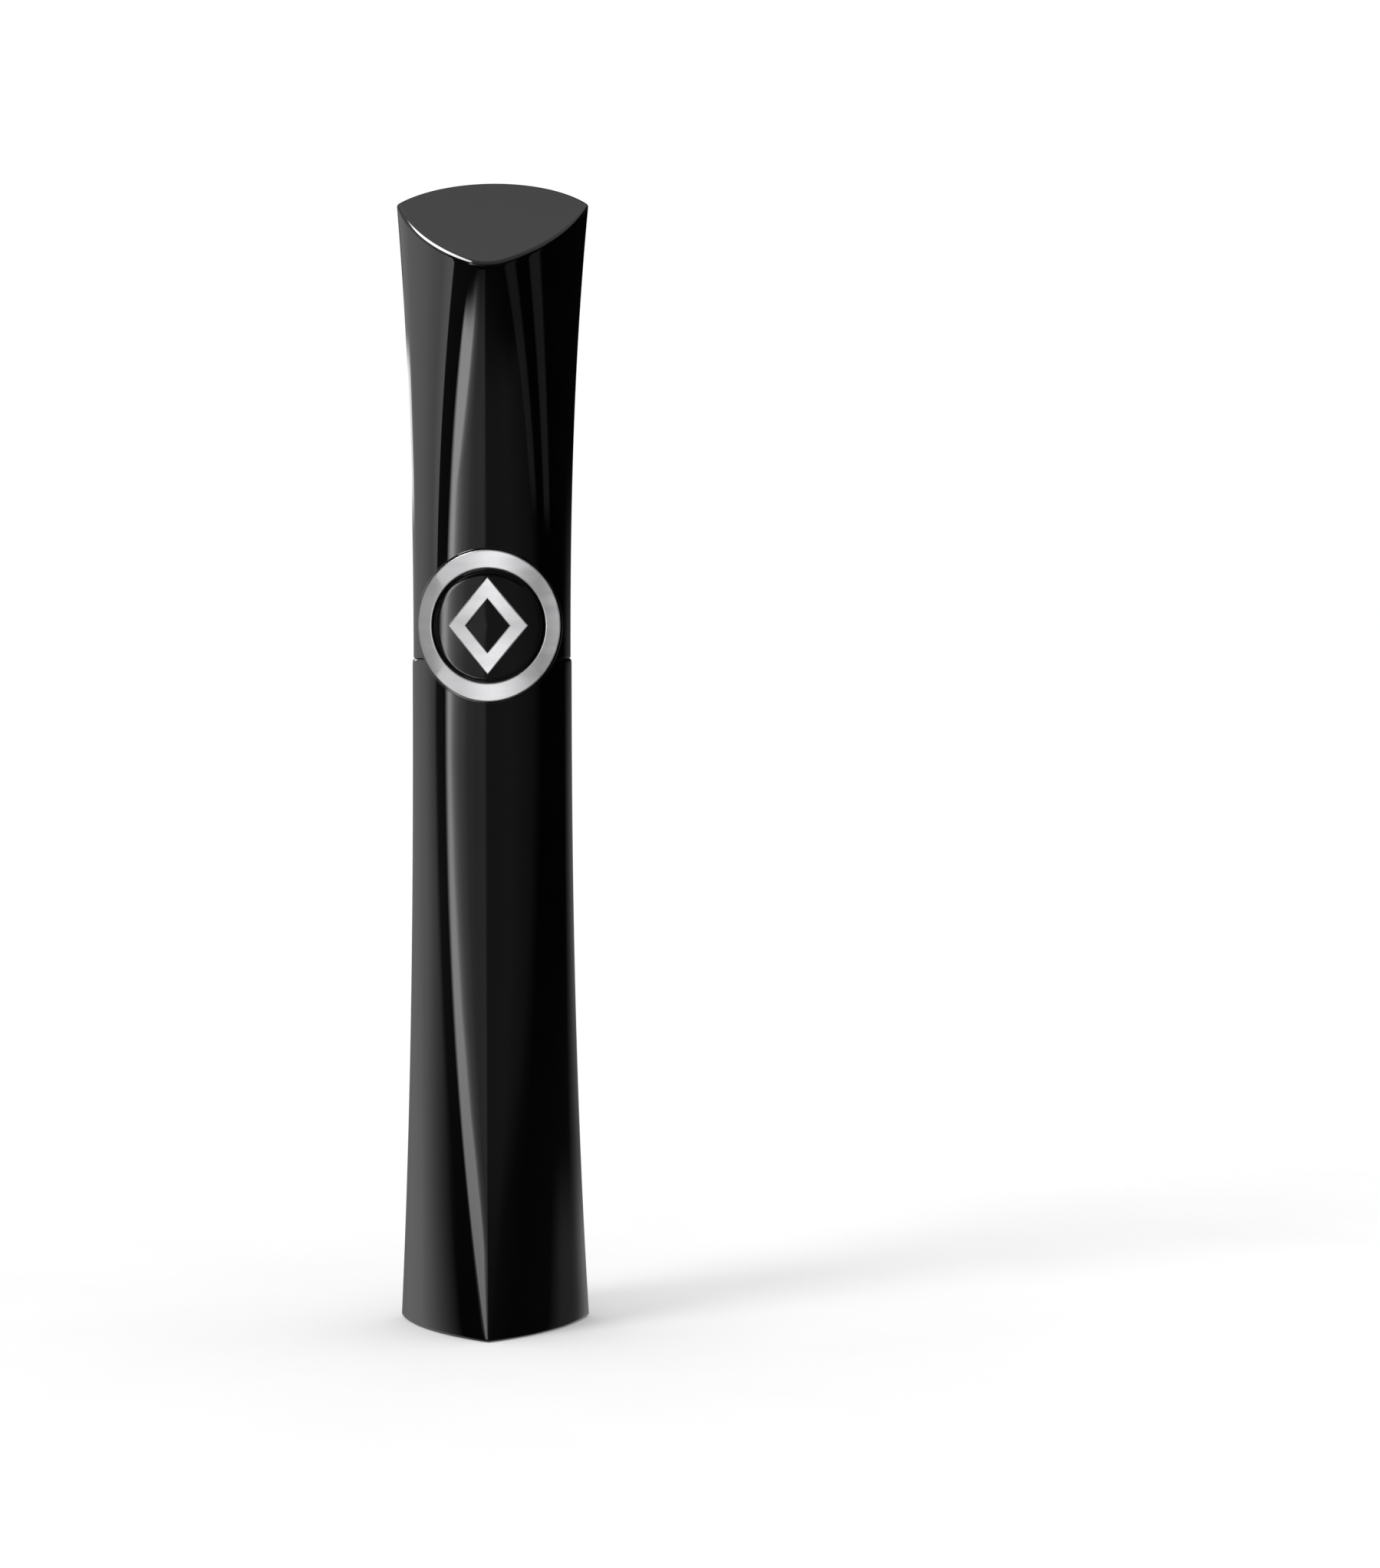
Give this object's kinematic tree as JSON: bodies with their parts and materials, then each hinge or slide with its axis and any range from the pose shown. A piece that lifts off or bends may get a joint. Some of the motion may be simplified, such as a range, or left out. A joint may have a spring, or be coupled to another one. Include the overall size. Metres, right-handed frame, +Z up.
{
  "type": "mascara tube",
  "caption": "Flared, waisted mascara tube with a slanted cap, a round front emblem, a threaded vial with a wiper, and a moulded brush on a stem.",
  "frame": {"origin": "on the tube's axis, in the flat plane of the bottle's base", "axes": "+Z up along the tube's axis towards the cap, -Y towards the emblem at the front, +X to the right of it"},
  "size_m": [0.0224, 0.0225, 0.1347],
  "materials": {
    "lacquer": "piano-black gloss",
    "plate_black": "black gloss",
    "metal": "satin silver",
    "base_black": "satin moulded",
    "label": "plain paper-look film",
    "vial": "moulded",
    "wiper": "soft translucent",
    "collar": "moulded gloss",
    "liner": "moulded",
    "gasket": "foam seal",
    "stem": "moulded semi-gloss",
    "brush": "matte moulded elastomer"
  },
  "bodies": {
    "bottle": {"bottle_shell": "lacquer", "base_plate": "base_black", "base_label": "label", "vial": "vial", "wiper": "wiper", "neck_collar": "collar"},
    "carrier": {"gasket": "gasket"},
    "cap": {"cap_shell": "lacquer", "inner_cap": "liner", "stem": "stem", "brush": "brush", "emblem_plate": "plate_black", "emblem_ring": "metal", "emblem_lozenge": "metal"}
  },
  "joints": [
    {"name": "cap_lift", "type": "slide", "parent": "bottle", "child": "carrier", "axis": [0, 0, 1], "range_m": [0, 0.105], "deforming": ["wiper"]},
    {"name": "cap_turn", "type": "hinge", "parent": "carrier", "child": "cap", "pos_m": [0, 0, 0.0915], "axis": [0, 0, 1], "range_deg": [0, 540]}
  ]
}
